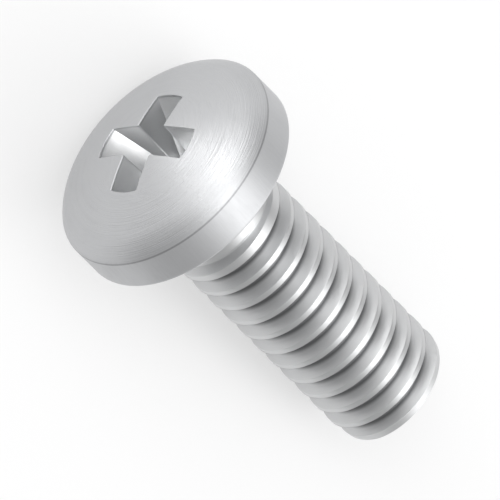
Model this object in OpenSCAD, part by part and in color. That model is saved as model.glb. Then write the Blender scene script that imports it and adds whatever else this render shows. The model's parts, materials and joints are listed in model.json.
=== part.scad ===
// Pan head machine screw with a cross recess: one headed and threaded piece of steel.
// It lies at rest on the rim of its head and on its last thread, on the surface z = 0.
// X runs along the screw, with the head at -X and the tip at +X, and Z is up.
// The origin is on the surface, under the middle of the screw's bounding box.

/* [Head] */
// Diameter of the head
head_d = 7.9; // [7.4:0.05:9.4]
// Height of the head's upright side
side_h = 1.23; // [1:0.01:1.8]
// Height of the crown above the side
crown_h = 1.22; // [0.98:0.01:1.5]
// Radius of the crown's shoulder, where it turns down to the side
shoulder_r = 1.6; // [1.3:0.05:2]
// Slope of the shoulder where it meets the side, in degrees
shoulder_slope = 55; // [45:1:66]
// Rounding of the edge between the crown and the side
crown_edge_r = 0.08; // [0.05:0.01:0.3]
// Rounding of the lower edge of the side
rim_edge_r = 0.1; // [0.05:0.01:0.2]
// Fillet between the underside of the head and the neck
fillet_r = 0.15; // [0.05:0.01:0.25]

/* [Cross recess] */
// Distance across the tips of two opposite wings, at the crown
recess_d = 3.74; // [3:0.02:4.5]
// Width of a wing at the crown
wing_w = 1.1; // [0.9:0.02:1.35]
// Depth of the wings below the crown
wing_depth = 1.84; // [1.5:0.02:2.2]
// Slope of the wing tips against the axis, in degrees
wing_taper = 26.5; // [22:0.5:31.5]
// Draft of the wing walls, in degrees
wing_draft = 2; // [1:0.5:4]
// Rise of the cone at the bottom of the recess, in degrees
bottom_rise = 28; // [15:1:34]
// Turn of the recess about the screw's axis, in degrees
recess_turn = 60; // [0:5:90]

/* [Shank] */
// Length from the underside of the head to the tip
length = 11.11; // [9:0.01:16]
// Length of the plain neck under the head
neck_l = 1.15; // [0.9:0.05:2]
// How far the neck stands out over the crests
neck_over = 0.01; // [0.005:0.005:0.05]

/* [Thread] */
// Diameter over the crests
thread_d = 4.14; // [3.4:0.01:5]
// Pitch
pitch = 0.794; // [0.65:0.001:0.95]
// Width of the flat on a crest
crest_w = 0.19; // [0.1:0.01:0.25]
// Width of the bottom of the groove
root_w = 0.1; // [0.05:0.01:0.15]
// Angle between the flanks, in degrees
thread_angle = 60; // [55:1:66]
// Turns over which the groove fades in at the neck
fade_turns = 1; // [0.7:0.05:1.5]
// Plain land between the end of the neck and the start of the groove
start_gap = 0.08; // [0.04:0.01:0.2]
// How far the chamfer cuts in at the tip
tip_cut = 0.12; // [0.08:0.01:0.4]
// Length of the chamfer at the tip
tip_l = 0.5; // [0.3:0.05:0.8]
// Distance from the end face to the last full crest, where the screw touches the surface
last_crest = 0.65; // [0.6:0.01:1.2]

/* [Hidden] */
steel = "silver";
$fn = 96;
turn_steps = 48;
crown_steps = 12;
shoulder_steps = 8;
edge_steps = 4;
overlap = 0.3;

head_r = head_d / 2;
crest_r = thread_d / 2;
neck_r = crest_r + neck_over;
tip_r = crest_r - tip_cut;
recess_r = recess_d / 2;

// The shoulder's arc meets the side's top edge at its slope, and the crown's arc runs on from it.
shoulder_x = head_r - shoulder_r * sin(shoulder_slope);
shoulder_z = shoulder_r * cos(shoulder_slope);
crown_c = (pow(shoulder_x, 2) + pow(shoulder_z, 2) - pow(crown_h - shoulder_r, 2))
    / (2 * (crown_h - shoulder_r + shoulder_z));
crown_r = crown_h + crown_c;
crown_join = atan2(shoulder_x, crown_c - shoulder_z);

// The rounded edge is tangent to the side and to the shoulder's arc.
edge_x = head_r - crown_edge_r - shoulder_x;
edge_z = sqrt(pow(shoulder_r - crown_edge_r, 2) - pow(edge_x, 2));
edge_join = atan2(edge_x, edge_z);

// The groove is a trapezoid between the crests, cut to the depth that its flanks give.
flank_tan = tan(thread_angle / 2);
groove_half = (pitch - crest_w) / 2;
groove_depth = (groove_half - root_w / 2) / flank_tan;

// At the screw's lower side the last full crest is last_crest from the end face, and the
// groove starts there too, a whole number of pitches before that crest and half a pitch off.
crest_z = length - last_crest;
first_groove = neck_l + start_gap + root_w / 2;
groove_start = crest_z - (floor((crest_z - first_groove) / pitch - 0.5) + 0.5) * pitch;
groove_end = length + groove_half + overlap;
helix_steps = ceil((groove_end - groove_start) / pitch * turn_steps);

// The wings' tips reach recess_r at the crown's surface.
rim_z = -side_h - sqrt(pow(crown_r, 2) - pow(recess_r, 2)) + crown_c;
bottom_r = recess_r - wing_depth * tan(wing_taper);

// The surface touches the rounded rim of the head and the far edge of the last full crest.
touch_z = crest_z + crest_w / 2;
rim_x = head_r - rim_edge_r;
touch_span = norm([touch_z + rim_edge_r, rim_x - crest_r]);
lie = atan2(rim_x - crest_r, touch_z + rim_edge_r) + asin(rim_edge_r / touch_span);
lift = touch_z * sin(lie) + crest_r * cos(lie);
far_x = length * cos(lie) + tip_r * sin(lie);
near_x = -(side_h - crown_c) * cos(lie) - crown_r;

// Points of an arc about (x, z) without its last one, with angles from the head's end of the axis
function arc(x, z, r, from, to, steps) =
    [for (i = [0:steps - 1]) let (a = from + (to - from) * i / steps) [x + r * sin(a), z - r * cos(a)]];

// Half section of the head and the neck
function head_section() = concat(
    arc(0, crown_c - side_h, crown_r, 0, crown_join, crown_steps),
    arc(shoulder_x, shoulder_z - side_h, shoulder_r, crown_join, edge_join, shoulder_steps),
    arc(head_r - crown_edge_r, shoulder_z - side_h - edge_z, crown_edge_r, edge_join, 90, edge_steps),
    [[head_r, shoulder_z - side_h - edge_z]],
    arc(rim_x, -rim_edge_r, rim_edge_r, 90, 180, edge_steps),
    [[rim_x, 0]],
    arc(neck_r + fillet_r, fillet_r, fillet_r, 0, -90, edge_steps),
    [[neck_r, fillet_r], [neck_r, neck_l], [0, neck_l]]
);

module head_and_neck() {
    rotate_extrude() polygon(head_section());
}

// One slot through the axis, its walls leaning in with the draft
module wing_pair() {
    above = wing_depth;
    below = wing_depth + bottom_r;
    top_w = wing_w / 2 + above * tan(wing_draft);
    low_w = wing_w / 2 - below * tan(wing_draft);
    rotate([90, 0, 0]) linear_extrude(head_d, center = true) polygon([
        [-top_w, rim_z - above], [top_w, rim_z - above], [low_w, rim_z + below], [-low_w, rim_z + below]
    ]);
}

// The recess is two crossed slots within a tapered core with a conical bottom.
module cross_recess() {
    above = wing_depth / 2;
    rotate(recess_turn) intersection() {
        rotate_extrude() polygon([
            [0, rim_z - above],
            [recess_r + above * tan(wing_taper), rim_z - above],
            [bottom_r, rim_z + wing_depth],
            [0, rim_z + wing_depth + bottom_r * tan(bottom_rise)]
        ]);
        union() {
            wing_pair();
            rotate(90) wing_pair();
        }
    }
}

// Share of the groove's full depth at a number of turns from its start
function fade(turns) = let (s = min(1, turns / fade_turns)) s * s * (3 - 2 * s);

// The groove's four edges at one step along the helix, from the head's side to the tip's
function groove_edges(i) =
    let (
        a = 360 * i / turn_steps,
        z = groove_start + pitch * i / turn_steps,
        depth = groove_depth * fade(i / turn_steps),
        root = root_w / 2,
        half = root + depth * flank_tan
    )
    [for (e = [[crest_r, -half], [crest_r - depth, -root], [crest_r - depth, root], [crest_r, half]])
        [e[0] * cos(a), e[0] * sin(a), z + e[1]]];

// A ring of points on the crest diameter
function ring(z) = [for (j = [0:turn_steps - 1])
    [crest_r * cos(360 * j / turn_steps), crest_r * sin(360 * j / turn_steps), z]];

// Places of the points in the thread's list: first ring, groove edges, last ring
function first_at(j) = j % turn_steps;
function edge_at(i, k) = turn_steps + 4 * i + k;
function last_at(j) = turn_steps + 4 * (helix_steps + 1) + j % turn_steps;

// Two triangles between two steps a, b and the next row's d, c
function quad(a, b, c, d) = [[a, d, c], [a, c, b]];

// A rod with one helical groove, longer than the shank at both ends
module grooved_rod() {
    points = concat(
        ring(neck_l - overlap),
        [for (i = [0:helix_steps]) each groove_edges(i)],
        ring(groove_end + groove_half + overlap)
    );
    before = concat([first_at(0)], [for (k = [0:3]) edge_at(0, k)], [edge_at(turn_steps, 0)]);
    before_tip = edge_at(turn_steps - 1, 0);
    tail = helix_steps - turn_steps;
    after = concat([edge_at(tail, 3)], [for (k = [0:3]) edge_at(helix_steps, k)], [last_at(helix_steps)]);
    after_tip = edge_at(tail + 1, 3);
    faces = concat(
        [[for (j = [0:turn_steps - 1]) first_at(j)]],
        [for (j = [0:turn_steps - 2])
            each quad(first_at(j), first_at(j + 1), edge_at(j + 1, 0), edge_at(j, 0))],
        [[first_at(turn_steps - 1), before_tip, first_at(0)]],
        [for (m = [0:len(before) - 2]) [before_tip, before[m + 1], before[m]]],
        [for (i = [0:helix_steps - 1], k = [0:2])
            each quad(edge_at(i, k), edge_at(i + 1, k), edge_at(i + 1, k + 1), edge_at(i, k + 1))],
        [for (i = [0:tail - 1], next = [i + turn_steps])
            each quad(edge_at(i, 3), edge_at(i + 1, 3), edge_at(next + 1, 0), edge_at(next, 0))],
        [for (m = [0:len(after) - 2]) [after[m], after[m + 1], after_tip]],
        [[last_at(helix_steps), last_at(tail + 1), after_tip]],
        [for (j = [tail + 1:helix_steps - 1])
            each quad(edge_at(j, 3), edge_at(j + 1, 3), last_at(j + 1), last_at(j))],
        [[for (j = [turn_steps - 1:-1:0]) last_at(j)]]
    );
    polyhedron(points, faces);
}

// The threaded shank, with its end face and chamfer
module threaded_shank() {
    outer_r = crest_r + overlap;
    outer_z = length - (outer_r - tip_r) * tip_l / tip_cut;
    intersection() {
        grooved_rod();
        rotate_extrude() polygon([[0, 0], [outer_r, 0], [outer_r, outer_z], [tip_r, length], [0, length]]);
    }
}

// The screw is drawn about its own axis, with the tip towards +Z, and then laid down.
module machine_screw() {
    color(steel)
        translate([-(near_x + far_x) / 2, 0, lift])
            rotate([0, 90 + lie, 0]) {
                difference() {
                    head_and_neck();
                    cross_recess();
                }
                threaded_shank();
            }
}

machine_screw();
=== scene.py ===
"""A pan head machine screw of satin steel, lying at rest on a pale studio floor.

The screw is modelled about its own axis in millimetres, with Z towards its tip and the underside of its
head at z = 0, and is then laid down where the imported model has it.
"""

import json
from math import asin, atan2, ceil, copysign, cos, floor, pi, radians, sin, sqrt, tan

import bmesh
import bpy
from mathutils import Matrix, Vector


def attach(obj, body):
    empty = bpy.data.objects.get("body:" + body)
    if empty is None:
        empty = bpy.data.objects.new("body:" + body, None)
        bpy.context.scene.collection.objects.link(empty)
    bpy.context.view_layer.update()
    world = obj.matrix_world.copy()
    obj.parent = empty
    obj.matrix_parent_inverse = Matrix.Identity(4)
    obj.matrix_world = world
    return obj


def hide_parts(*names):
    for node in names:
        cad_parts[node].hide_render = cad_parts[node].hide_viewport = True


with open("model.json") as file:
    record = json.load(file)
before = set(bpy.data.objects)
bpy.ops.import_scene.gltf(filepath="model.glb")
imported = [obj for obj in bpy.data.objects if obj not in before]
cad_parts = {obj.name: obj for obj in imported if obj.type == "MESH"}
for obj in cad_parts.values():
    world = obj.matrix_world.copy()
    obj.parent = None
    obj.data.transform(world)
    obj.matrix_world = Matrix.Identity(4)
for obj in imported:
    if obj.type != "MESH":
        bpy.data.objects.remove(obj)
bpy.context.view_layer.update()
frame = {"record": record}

MM = 0.001

# Head
HEAD_R = 3.95
SIDE_H = 1.23
CROWN_H = 1.22
SHOULDER_R = 1.6
SHOULDER_SLOPE = radians(55)
CROWN_EDGE_R = 0.08
RIM_EDGE_R = 0.1
FILLET_R = 0.15

# Cross recess
RECESS_R = 1.87
WING_W = 1.1
WING_DEPTH = 1.84
WING_TAPER = radians(26.5)
WING_DRAFT = radians(2)
BOTTOM_RISE = radians(28)
RECESS_TURN = radians(60)
RECESS_EDGE_R = 0.035
CORNER_R = 0.05

# Shank and thread
LENGTH = 11.11
NECK_L = 1.15
NECK_STEP = 0.01
CREST_R = 2.07
NECK_R = CREST_R + NECK_STEP
PITCH = 0.794
CREST_W = 0.19
ROOT_W = 0.1
THREAD_ANGLE = radians(60)
FADE_TURNS = 1
START_GAP = 0.08
LAST_CREST = 0.65
TIP_CUT = 0.12
TIP_L = 0.5
CREST_EDGE_R = 0.015

# How finely the curves are cut. A loop round the recess has as many points as a ring of the head.
WINGS = 4
TURN_STEPS = 128
CORNER_POINTS = 3
TIP_POINTS = 15
WALL_POINTS = 14
LOOP_POINTS = WINGS * (2 * CORNER_POINTS - 1 + 2 * WALL_POINTS + TIP_POINTS)
CROWN_LOOPS = 20
CROWN_CROWDING = 0.8
RIM_LOOPS = 4
WALL_LOOPS = 8
BOTTOM_LOOPS = 8
EDGE_STEPS = 6
SHOULDER_STEPS = 16
THIRDS = (0, 1 / 3, 2 / 3, 1)

# Points nearer than MERGE, in millimetres, are one, and edges sharper than SHARP aren't smoothed.
MERGE = 0.0001
SHARP = radians(28)

# The crown's two arcs and the rounded edge under them, as in the solid
SHOULDER_X = HEAD_R - SHOULDER_R * sin(SHOULDER_SLOPE)
SHOULDER_Z = SHOULDER_R * cos(SHOULDER_SLOPE)
CROWN_C = (SHOULDER_X**2 + SHOULDER_Z**2 - (CROWN_H - SHOULDER_R) ** 2) / (
    2 * (CROWN_H - SHOULDER_R + SHOULDER_Z))
CROWN_R = CROWN_H + CROWN_C
CROWN_JOIN = atan2(SHOULDER_X, CROWN_C - SHOULDER_Z)
EDGE_X = HEAD_R - CROWN_EDGE_R - SHOULDER_X
EDGE_Z = sqrt((SHOULDER_R - CROWN_EDGE_R) ** 2 - EDGE_X**2)
EDGE_JOIN = atan2(EDGE_X, EDGE_Z)
SIDE_TOP = SHOULDER_Z - SIDE_H - EDGE_Z

# The groove between two crests, with a round root that touches the solid's flat one
FLANK = THREAD_ANGLE / 2
GROOVE_HALF = (PITCH - CREST_W) / 2
GROOVE_DEPTH = (GROOVE_HALF - ROOT_W / 2) / tan(FLANK)
ROOT_R = GROOVE_HALF / tan(FLANK) - GROOVE_DEPTH
CREST_Z = LENGTH - LAST_CREST
GROOVES = floor((CREST_Z - NECK_L - START_GAP - ROOT_W / 2) / PITCH - 0.5) + 0.5
GROOVE_START = CREST_Z - GROOVES * PITCH
TURNS = ceil((LENGTH - GROOVE_START) / PITCH + 0.5)


def pick(*pieces):
    """Selects these pieces alone, with the first one active."""
    bpy.ops.object.select_all(action="DESELECT")
    for piece in pieces:
        piece.select_set(True)
    bpy.context.view_layer.objects.active = pieces[0]


def edit(piece, selected=False):
    """Opens a piece in edit mode, with all of it selected or nothing."""
    pick(piece)
    bpy.ops.object.mode_set(mode="EDIT")
    bpy.ops.mesh.select_all(action="SELECT" if selected else "DESELECT")


def close_edit(piece):
    """Goes back to object mode and hands the piece on."""
    bpy.ops.object.mode_set(mode="OBJECT")
    return piece


def apply_modifier(piece, kind, **settings):
    """Adds a modifier with its settings and makes it part of the piece's mesh."""
    modifier = piece.modifiers.new(kind.title(), kind)
    for name, value in settings.items():
        setattr(modifier, name, value)
    pick(piece)
    bpy.ops.object.modifier_apply(modifier=modifier.name)


def cut_across(z, keep_below):
    """In edit mode, cuts the piece off square at a height. What is kept below it gets a flat end face."""
    bpy.ops.mesh.select_all(action="SELECT")
    bpy.ops.mesh.bisect(
        plane_co=(0, 0, z), plane_no=(0, 0, 1),
        clear_inner=not keep_below, clear_outer=keep_below, use_fill=keep_below)


def place_selected(piece, places):
    """Puts the selected vertices, in the order they were made, at the given places."""
    mesh = bmesh.from_edit_mesh(piece.data)
    mesh.verts.index_update()
    for vertex, place in zip([v for v in mesh.verts if v.select], places):
        vertex.co = place
    bmesh.update_edit_mesh(piece.data)


def arc(x, z, r, start, end, steps):
    """Radius and height along an arc about (x, z), with angles from the head's end of the axis."""
    angles = [start + (end - start) * i / steps for i in range(steps + 1)]
    return [(x + r * sin(a), z - r * cos(a)) for a in angles]


def spread(start, end, shares):
    """Values from start to end at the given shares of the way."""
    return [start + (end - start) * share for share in shares]


def head_profile():
    """Radius and height of the head's rings, from the neck round the rim to the end of the shoulder.

    Each flat face has a ring close to its edges, which keeps its shading flat.
    """
    seat = spread(NECK_R + FILLET_R, HEAD_R - RIM_EDGE_R, (0.04, 0.35, 0.65, 0.96))
    side = spread(-RIM_EDGE_R, SIDE_TOP, (0.05, 0.35, 0.65, 0.95))
    return (
        [(NECK_R, z) for z in spread(NECK_L, FILLET_R, (0, 0.25, 0.5, 0.75, 0.96))]
        + arc(NECK_R + FILLET_R, FILLET_R, FILLET_R, -pi / 2, 0, EDGE_STEPS)
        + [(r, 0) for r in seat]
        + arc(HEAD_R - RIM_EDGE_R, -RIM_EDGE_R, RIM_EDGE_R, pi, pi / 2, EDGE_STEPS)
        + [(HEAD_R, z) for z in side]
        + arc(HEAD_R - CROWN_EDGE_R, SIDE_TOP, CROWN_EDGE_R, pi / 2, EDGE_JOIN, EDGE_STEPS)
        + arc(SHOULDER_X, SHOULDER_Z - SIDE_H, SHOULDER_R, EDGE_JOIN, CROWN_JOIN, SHOULDER_STEPS)[1:]
    )


def ring(r, z):
    """A ring round the axis, whose points match those of the recess's outline."""
    start = RECESS_TURN + pi / 4
    angles = [start - 2 * pi * i / LOOP_POINTS for i in range(LOOP_POINTS)]
    return [Vector((r * cos(a), r * sin(a), z)) for a in angles]


def crown_z(r):
    """Height of the crown's large arc."""
    return CROWN_C - SIDE_H - sqrt(CROWN_R**2 - r**2)


RIM_Z = crown_z(RECESS_R)
BOTTOM_R = RECESS_R - WING_DEPTH * tan(WING_TAPER)


def cross_outline(depth, grow=0.0):
    """The recess's outline in plan at a depth under its rim, with rounded corners between the wings."""
    half = WING_W / 2 - depth * tan(WING_DRAFT) + grow
    reach = RECESS_R - depth * tan(WING_TAPER) + grow
    corner_r = CORNER_R - grow
    wall_start = half + corner_r
    tip = asin(half / reach)
    corner = [
        (wall_start - corner_r * cos(a), wall_start - corner_r * sin(a))
        for a in spread(pi / 4, pi / 2, [i / (CORNER_POINTS - 1) for i in range(CORNER_POINTS)])]
    wall_shares = [(i + 1) / (WALL_POINTS + 1) for i in range(WALL_POINTS)]
    wall = [(x, half) for x in spread(wall_start, reach * cos(tip), wall_shares)]
    tips = [
        (reach * cos(a), reach * sin(a))
        for a in spread(tip, -tip, [i / (TIP_POINTS - 1) for i in range(TIP_POINTS)])]
    back = [(x, -y) for x, y in reversed(corner[1:] + wall)]
    points = []
    for wing in range(WINGS):
        turn = Matrix.Rotation(RECESS_TURN - 2 * pi * wing / WINGS, 2)
        points += [turn @ Vector(p) for p in corner + wall + tips + back]
    return points


def bottom_z(r):
    """Height of the cone at the bottom of the recess."""
    return RIM_Z + WING_DEPTH + (BOTTOM_R - r) * tan(BOTTOM_RISE)


def recess_loops():
    """Loops from the shoulder in to the recess, over its rounded rim, down its walls and to its bottom."""
    outer = [p.xy for p in ring(CROWN_R * sin(CROWN_JOIN), 0)]
    rim = cross_outline(0, RECESS_EDGE_R)
    loops = []
    for i in range(1, CROWN_LOOPS + 1):
        share = (i / CROWN_LOOPS) ** CROWN_CROWDING
        plan = [a.lerp(b, share) for a, b in zip(outer, rim)]
        loops.append([Vector((*p, crown_z(p.length))) for p in plan])
    for i in range(1, RIM_LOOPS + 1):
        turn = pi / 2 * i / RIM_LOOPS
        plan = cross_outline(0, RECESS_EDGE_R * (1 - sin(turn)))
        sink = RECESS_EDGE_R * (1 - cos(turn))
        loops.append([Vector((*p, crown_z(p.length) + sink)) for p in plan])
    top, low = cross_outline(0), cross_outline(WING_DEPTH)
    brink = loops[-1]
    for i in range(1, WALL_LOOPS + 1):
        loop = []
        for start, a, b in zip(brink, top, low):
            z = start.z + (bottom_z(b.length) - start.z) * i / WALL_LOOPS
            loop.append(Vector((*a.lerp(b, (z - RIM_Z) / WING_DEPTH), z)))
        loops.append(loop)
    edge = loops[-1]
    for i in range(1, BOTTOM_LOOPS):
        plan = [p.xy * (1 - i / BOTTOM_LOOPS) for p in edge]
        loops.append([Vector((*p, bottom_z(p.length))) for p in plan])
    return loops


def make_head():
    """The head, the recess and the neck, grown ring by ring from the open end of the neck."""
    bpy.ops.mesh.primitive_circle_add(vertices=LOOP_POINTS, radius=NECK_R)
    head = bpy.context.object
    loops = [ring(r, z) for r, z in head_profile()] + recess_loops()
    edit(head, selected=True)
    place_selected(head, loops[0])
    for loop in loops[1:]:
        bpy.ops.mesh.extrude_region_move()
        place_selected(head, loop)
    bpy.ops.mesh.edge_face_add()
    bpy.ops.mesh.poke()
    close_edit(head)
    apex = min(head.data.vertices, key=lambda v: v.co.xy.length)
    apex.co = (0, 0, bottom_z(0))
    return head


def thread_profile():
    """Height and depth of one groove's points, from the middle of one crest to the middle of the next."""
    crest_z = GROOVE_HALF + CREST_EDGE_R * tan(FLANK)
    crest = [
        (crest_z - CREST_EDGE_R * sin(a), CREST_EDGE_R - CREST_EDGE_R * cos(a))
        for a in spread(0, pi / 2 - FLANK, THIRDS)]
    root_c = GROOVE_DEPTH - ROOT_R
    root = [
        (ROOT_R * sin(a), root_c + ROOT_R * cos(a))
        for a in spread(pi / 2 - FLANK, 0, THIRDS)]
    flank_z = spread(crest[-1][0], root[0][0], THIRDS[1:-1])
    flank_depth = spread(crest[-1][1], root[0][1], THIRDS[1:-1])
    flank = list(zip(flank_z, flank_depth))
    half = [(PITCH / 2, 0.0)] + crest + flank + root
    return [(-z, depth) for z, depth in half] + list(reversed(half[:-1]))


def fade(turn):
    """Share of the groove's full depth at a number of turns from its start."""
    share = min(max(turn / FADE_TURNS, 0), 1)
    return share * share * (3 - 2 * share)


def thread_place(turn, z, depth):
    """Where a point of the groove's profile lies.

    The groove fades in at the neck. At the tip a chamfer cuts the crests, which makes them wider.
    """
    wide = (ROOT_W / 2 + (GROOVE_HALF - ROOT_W / 2) * fade(turn)) / GROOVE_HALF
    reach = abs(z)
    centre = GROOVE_START + PITCH * turn
    cut = TIP_CUT * min(max((centre + z - LENGTH + TIP_L) / TIP_L, 0), 1)
    if reach < PITCH / 2:
        reach *= wide
        depth *= fade(turn)
    if depth < cut:
        edge = GROOVE_HALF - CREST_EDGE_R * (1 - sin(FLANK))
        cut_edge = GROOVE_HALF - cut * tan(FLANK)
        wider = cut_edge + (reach - edge) * (PITCH / 2 - cut_edge) / (PITCH / 2 - edge)
        reach += (wider - reach) * min(cut / CREST_EDGE_R, 1)
        depth = cut
    angle = 2 * pi * turn
    r = CREST_R - depth
    return Vector((r * cos(angle), r * sin(angle), centre + copysign(reach, z)))


def make_shank():
    """The threaded shank: one groove's profile, swept up the axis turn by turn and cut off at both ends."""
    profile = thread_profile()
    bpy.ops.mesh.primitive_plane_add(size=1)
    shank = bpy.context.object
    edit(shank, selected=True)
    bpy.ops.mesh.merge(type="CENTER")
    place_selected(shank, [(CREST_R, 0, profile[0][0])])
    for (z, depth), (next_z, next_depth) in zip(profile, profile[1:]):
        bpy.ops.mesh.extrude_region_move(
            TRANSFORM_OT_translate={"value": (depth - next_depth, 0, next_z - z)})
    close_edit(shank)
    apply_modifier(
        shank, "SCREW", axis="Z", screw_offset=PITCH, iterations=TURNS + 1,
        steps=TURN_STEPS, render_steps=TURN_STEPS, use_smooth_shade=True)
    for vertex in shank.data.vertices:
        step, point = divmod(vertex.index, len(profile))
        vertex.co = thread_place(step / TURN_STEPS - 1, *profile[point])
    edit(shank, selected=True)
    bpy.ops.mesh.remove_doubles(threshold=MERGE)
    cut_across(NECK_L + NECK_STEP, keep_below=False)
    cut_across(LENGTH, keep_below=True)
    bpy.ops.mesh.delete_loose()
    return close_edit(shank)


def make_screw():
    """The head and the shank joined into one closed skin, by a narrow step at the end of the neck."""
    head, shank = make_head(), make_shank()
    pick(head, shank)
    bpy.ops.object.join()
    edit(head)
    bpy.ops.mesh.select_mode(type="EDGE")
    bpy.ops.mesh.select_non_manifold(extend=False, use_wire=False, use_multi_face=False)
    bpy.ops.mesh.bridge_edge_loops()
    bpy.ops.mesh.select_mode(type="VERT")
    bpy.ops.mesh.select_all(action="SELECT")
    bpy.ops.mesh.normals_make_consistent(inside=False)
    close_edit(head)
    bpy.ops.object.shade_smooth_by_angle(angle=SHARP)
    head.name = "screw"
    return head


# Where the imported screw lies: its axis points to the tip, and dips towards the floor.
neck = next(mount for mount in frame["record"]["mounts"] if mount["name"] == "neck")
AXIS = Vector(neck["axis"]).normalized()
UNDER_HEAD = Vector(neck["pos_m"]) - AXIS * (NECK_L - neck["dims"]["length_mm"] / 2) * MM
LEVEL = Vector((0, 1, 0))


def axes(x, y, z):
    """The turn that brings X, Y and Z to three directions."""
    return Matrix((x, y, z)).transposed().to_4x4()


# The screw's own Z points to its tip, and its own X to its lower side.
SCREW_TURN = axes(LEVEL.cross(AXIS), LEVEL, AXIS)


def lie_down(piece):
    """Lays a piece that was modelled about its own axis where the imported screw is."""
    piece.data.transform(Matrix.Translation(UNDER_HEAD) @ SCREW_TURN @ Matrix.Scale(MM, 4))


class Wire:
    """A shader socket that Python's arithmetic works on. Every sum adds its Math node to the same tree."""

    def __init__(self, tree, socket):
        self.tree, self.socket = tree, socket

    def math(self, operation, *others):
        values = dict(enumerate((self, *others)))
        return self.tree.node("ShaderNodeMath", {"operation": operation}, values)

    def flipped(self, operation, first):
        return self.tree.node("ShaderNodeMath", {"operation": operation}, {0: first, 1: self})

    def __add__(self, other):
        return self.math("ADD", other)

    def __sub__(self, other):
        return self.math("SUBTRACT", other)

    def __rsub__(self, other):
        return self.flipped("SUBTRACT", other)

    def __mul__(self, other):
        return self.math("MULTIPLY", other)

    def __truediv__(self, other):
        return self.math("DIVIDE", other)

    def __pow__(self, other):
        return self.math("POWER", other)

    __radd__ = __add__
    __rmul__ = __mul__

    def sin(self):
        return self.math("SINE")

    def cos(self):
        return self.math("COSINE")

    def abs(self):
        return self.math("ABSOLUTE")

    def clamped(self):
        return self.tree.node("ShaderNodeClamp", {}, {"Value": self})

    def ramp(self, low, high):
        """0 below low and 1 above high, with a smooth step between."""
        return self.tree.node(
            "ShaderNodeMapRange", {"interpolation_type": "SMOOTHSTEP"},
            {"Value": self, "From Min": low, "From Max": high})


class ShaderTree:
    """A material's or the world's nodes, each made by one call."""

    def __init__(self, owner):
        owner.use_nodes = True
        self.tree = owner.node_tree
        self.tree.nodes.clear()

    def node(self, kind, settings=None, values=None, output=0):
        """Adds a node with its settings, fills or links its sockets, and returns one of its outputs."""
        node = self.tree.nodes.new(kind)
        for name, value in (settings or {}).items():
            setattr(node, name, value)
        for name, value in (values or {}).items():
            if isinstance(value, Wire):
                self.tree.links.new(value.socket, node.inputs[name])
            else:
                node.inputs[name].default_value = value
        return Wire(self, node.outputs[output]) if node.outputs else None

    def mix_colour(self, factor, first, second):
        return self.node("ShaderNodeMix", {"data_type": "RGBA"}, {0: factor, 6: first, 7: second}, output=2)

    def noise(self, vector, detail, roughness, scale=1.0):
        return self.node(
            "ShaderNodeTexNoise", {"noise_dimensions": "3D"},
            {"Vector": vector, "Scale": scale, "Detail": detail, "Roughness": roughness})

    def vector(self, x, y, z):
        return self.node("ShaderNodeCombineXYZ", {}, {0: x, 1: y, 2: z})


# Colours, and how much of the floor's white is its own
STEEL = (0.53, 0.535, 0.545, 1)
# Painted light: the thread's steel is lighter than the head's, standing for light that the head keeps off
# its flanks
THREAD_PAINTED_LIGHT_STEEL = (0.61, 0.615, 0.62, 1)
# Dark steel for the painted shade towards the thread's roots, the fine line round the head and the random
# dark marks
DARK_STEEL = (0.12, 0.12, 0.125, 1)
# Painted light: the recess's steel is lighter, so that the shaded hollow reads bright
RECESS_PAINTED_LIGHT_STEEL = (0.76, 0.765, 0.77, 1)
WHITE = (1, 1, 1, 1)
FLOOR = (0.82, 0.82, 0.82, 1)
FLOOR_GLOW = 0.5

# Roughness, and the depth and strength of the surface marks
SATIN = 0.42
RELIEF = 0.012 * MM
RELIEF_STRENGTH = 0.35


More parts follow.
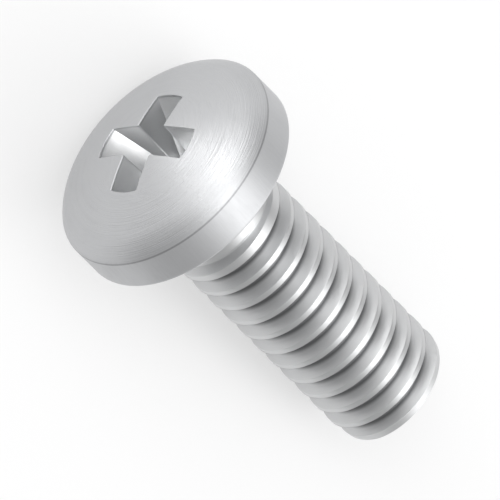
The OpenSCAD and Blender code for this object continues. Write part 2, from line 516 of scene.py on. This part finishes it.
def satin_steel():
    """Headed and rolled steel, in millimetres about the screw's own axis.

    The crown, the seat and the neck have fine marks round the axis, the side has marks along it, and the
    end face has the marks of the shears. The thread's steel is lighter, painted light for flanks that the
    head shades, it has painted shade darkening it towards its roots, and it is burnished on its crests. The
    recess's steel is lighter too, painted light in the shaded hollow, and a fine line runs round the head
    where the dies met.
    """
    material = bpy.data.materials.new("satin_steel")
    tree = ShaderTree(material)
    local = tree.node(
        "ShaderNodeMapping", {"vector_type": "TEXTURE"}, {
            "Vector": tree.node("ShaderNodeTexCoord", output="Object"),
            "Location": UNDER_HEAD, "Rotation": SCREW_TURN.to_euler(), "Scale": (MM, MM, MM)})
    x, y, z = (tree.node("ShaderNodeSeparateXYZ", {}, {0: local}, output=i) for i in range(3))
    radius = (x * x + y * y) ** 0.5
    angle = y.math("ARCTAN2", x)
    phase = z * (2 * pi / PITCH) - angle

    on_shank = z.ramp(NECK_L, NECK_L + 0.2)
    on_end = z.ramp(LENGTH - 0.03, LENGTH - 0.01)
    on_thread = on_shank * (1 - on_end)
    on_side = radius.ramp(HEAD_R - 0.06, HEAD_R - 0.02)
    on_turned = (1 - on_shank) * (1 - on_side)
    height = (radius - (CREST_R - GROOVE_DEPTH)) / GROOVE_DEPTH
    # Painted shade: the thread darkens towards its roots, where the crests shade the grooves
    root = (1 - height.ramp(0.06, 0.42)) * on_thread
    crest = height.ramp(0.9, 0.98) * on_shank
    die_line = (1 - (z - SIDE_TOP).abs().ramp(0.01, 0.05)) * on_side
    crown = CROWN_C - SIDE_H - (CROWN_R**2 - radius * radius) ** 0.5
    in_recess = (z - crown).ramp(0.02, 0.1) * (1 - radius.ramp(RECESS_R, RECESS_R + 0.1)) * (1 - on_shank)

    rings = tree.noise(tree.vector(radius * 9, z * 9, angle * 0.6), 3, 0.6)
    fine_rings = tree.noise(tree.vector(radius * 30, z * 30, angle * 1.5), 2, 0.6)
    drawn = tree.noise(tree.vector(angle.cos() * 60, angle.sin() * 60, z * 1.5), 2, 0.5)
    rolled = tree.noise(tree.vector(phase.cos() * 3, radius * 14, phase.sin() * 3), 2, 0.5)
    sheared = tree.noise(tree.vector(x * 14, y * 1.5, 0), 3, 0.6)
    marks = rings * on_turned + drawn * on_side + rolled * on_thread + sheared * on_end
    grain = tree.noise(local, 3, 0.65, scale=26)
    cloud = tree.noise(local, 3, 0.5, scale=0.9)

    # Painted light: the thread gets the lighter steel
    clean = tree.mix_colour(on_thread, STEEL, THREAD_PAINTED_LIGHT_STEEL)
    # Painted shade at the thread's roots, together with the die line and random marks, darkens the steel
    root_shade_and_marks = (root * 0.8 + die_line * 0.5 + (cloud - 0.5) * 0.12 + (marks - 0.5) * 0.1).clamped()
    # Painted light: the recess gets the lighter steel
    colour = tree.mix_colour(in_recess, tree.mix_colour(root_shade_and_marks, clean, DARK_STEEL), RECESS_PAINTED_LIGHT_STEEL)
    patchy = (cloud - 0.5) * 0.1 + (marks - 0.5) * 0.12
    rough = (SATIN + patchy + root * 0.1 - crest * 0.05 + on_side * 0.06 - in_recess * 0.08).clamped()
    turned = fine_rings * on_turned * (1 - in_recess)
    relief = marks * (0.5 + on_end * 1.5) + turned * 4.0 + grain * 0.5 - die_line * 1.5
    normal = tree.node(
        "ShaderNodeBump", {}, {"Strength": RELIEF_STRENGTH, "Distance": RELIEF, "Height": relief})
    surface = tree.node(
        "ShaderNodeBsdfPrincipled", {},
        {"Base Color": colour, "Metallic": 1.0, "Roughness": rough, "Normal": normal})
    tree.node("ShaderNodeOutputMaterial", {}, {"Surface": surface})
    return material


def background_rays(tree):
    """1 for rays from the camera, and off or through something glossy, and 0 for the light's own rays."""
    camera_ray, glossy_ray, clear_ray = (
        tree.node("ShaderNodeLightPath", output=name)
        for name in ("Is Camera Ray", "Is Glossy Ray", "Is Transmission Ray"))
    return camera_ray.math("MAXIMUM", glossy_ray).math("MAXIMUM", clear_ray)


def pale_floor():
    """A matt floor that takes the shadow, and is half white of its own where it is looked at."""
    material = bpy.data.materials.new("pale_floor")
    tree = ShaderTree(material)
    matt = tree.node("ShaderNodeBsdfDiffuse", {}, {"Color": FLOOR})
    white = tree.node("ShaderNodeEmission", {}, {"Color": WHITE, "Strength": 1.0})
    share = background_rays(tree) * FLOOR_GLOW
    surface = tree.node("ShaderNodeMixShader", {}, {0: share, 1: matt, 2: white})
    tree.node("ShaderNodeOutputMaterial", {}, {"Surface": surface})
    return material


def place_screw():
    """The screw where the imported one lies, in its own finish, standing for the solid."""
    screw = make_screw()
    lie_down(screw)
    screw.data.materials.clear()
    screw.data.materials.append(satin_steel())
    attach(screw, "root")
    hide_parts("machine_screw")


# Studio, in metres. The light comes from a little to +Y of the screw's axis, by LIGHT_SIDE of its way.
# A strength or a radiance of 1 looks white.
FLOOR_SIZE = 0.6
LIGHT_SIDE = 0.25
WALLS = 0.5
BAND = 1.9
BAND_W = 0.55
OVERHEAD_Z = 0.06
OVERHEAD_SIZE = (0.09, 0.016)
OVERHEAD_RADIANCE = 1.2
FRONT_X = -0.05
FRONT_Z = 0.006
FRONT_SIZE = (0.012, 0.01)
FRONT_RADIANCE = 7.0


def place_floor():
    bpy.ops.mesh.primitive_plane_add(size=FLOOR_SIZE)
    floor_piece = bpy.context.object
    floor_piece.name = "floor"
    floor_piece.data.materials.append(pale_floor())


def studio_air():
    """Pale walls round the floor, and a bright band overhead, along the screw and to one side of it."""
    world = bpy.data.worlds.new("studio")
    tree = ShaderTree(world)
    way = tree.node("ShaderNodeTexCoord", output="Generated")
    across = tree.node("ShaderNodeSeparateXYZ", {}, {0: way}, output="Y")
    band = 1 - (across - LIGHT_SIDE).abs().ramp(0.0, BAND_W)
    air = tree.node("ShaderNodeBackground", {}, {"Color": WHITE, "Strength": WALLS + band * BAND})
    white = tree.node("ShaderNodeBackground", {}, {"Color": WHITE, "Strength": 1.0})
    camera_ray = tree.node("ShaderNodeLightPath", output="Is Camera Ray")
    sky = tree.node("ShaderNodeMixShader", {}, {0: camera_ray, 1: air, 2: white})
    tree.node("ShaderNodeOutputWorld", {}, {"Surface": sky})
    bpy.context.scene.world = world


def softbox(name, place, target, size, radiance):
    """A rectangular lamp of a size and a radiance that points at a target."""
    lamp = bpy.data.objects.new(name, bpy.data.lights.new(name, "AREA"))
    bpy.context.scene.collection.objects.link(lamp)
    lamp.data.shape = "RECTANGLE"
    lamp.data.size, lamp.data.size_y = size
    lamp.data.energy = radiance * pi * size[0] * size[1]
    back = (Vector(place) - Vector(target)).normalized()
    lamp.matrix_world = Matrix.Translation(place) @ axes(LEVEL.cross(back), LEVEL, back)


# Camera. The photograph looks down on the head, with the same scale for all three of the drawing's axes.
# The screw's axis runs to the lower right, and passes under its head at AXIS_AT, in pixels.
PHOTO = 500
PX_PER_MM = 31.86
AXIS_AT = (187.66, 184.51)
VIEW_ANGLE = radians(54.7356)
CAMERA_AWAY = 0.06
CLIP_START = 0.001
CLIP_END = 1


def place_camera():
    upper_side = AXIS.cross(LEVEL)
    to_camera = sin(VIEW_ANGLE) * upper_side - cos(VIEW_ANGLE) * AXIS
    along = sin(VIEW_ANGLE) * AXIS + cos(VIEW_ANGLE) * upper_side
    right = (LEVEL + along).normalized()
    up = (LEVEL - along).normalized()
    shift = right * (PHOTO / 2 - AXIS_AT[0]) - up * (PHOTO / 2 - AXIS_AT[1])
    place = UNDER_HEAD + shift / PX_PER_MM * MM + to_camera * CAMERA_AWAY
    camera = bpy.data.objects.new("camera", bpy.data.cameras.new("camera"))
    bpy.context.scene.collection.objects.link(camera)
    camera.data.type = "ORTHO"
    camera.data.ortho_scale = PHOTO / PX_PER_MM * MM
    camera.data.clip_start = CLIP_START
    camera.data.clip_end = CLIP_END
    camera.matrix_world = Matrix.Translation(place) @ axes(right, up, to_camera)
    bpy.context.scene.camera = camera


place_camera()
place_screw()
place_floor()
studio_air()
softbox("overhead", (0, LIGHT_SIDE * OVERHEAD_Z, OVERHEAD_Z), (0, 0, 0), OVERHEAD_SIZE, OVERHEAD_RADIANCE)
softbox("front", (FRONT_X, -LIGHT_SIDE * FRONT_X, FRONT_Z), UNDER_HEAD, FRONT_SIZE, FRONT_RADIANCE)
bpy.context.scene.view_settings.view_transform = "Standard"
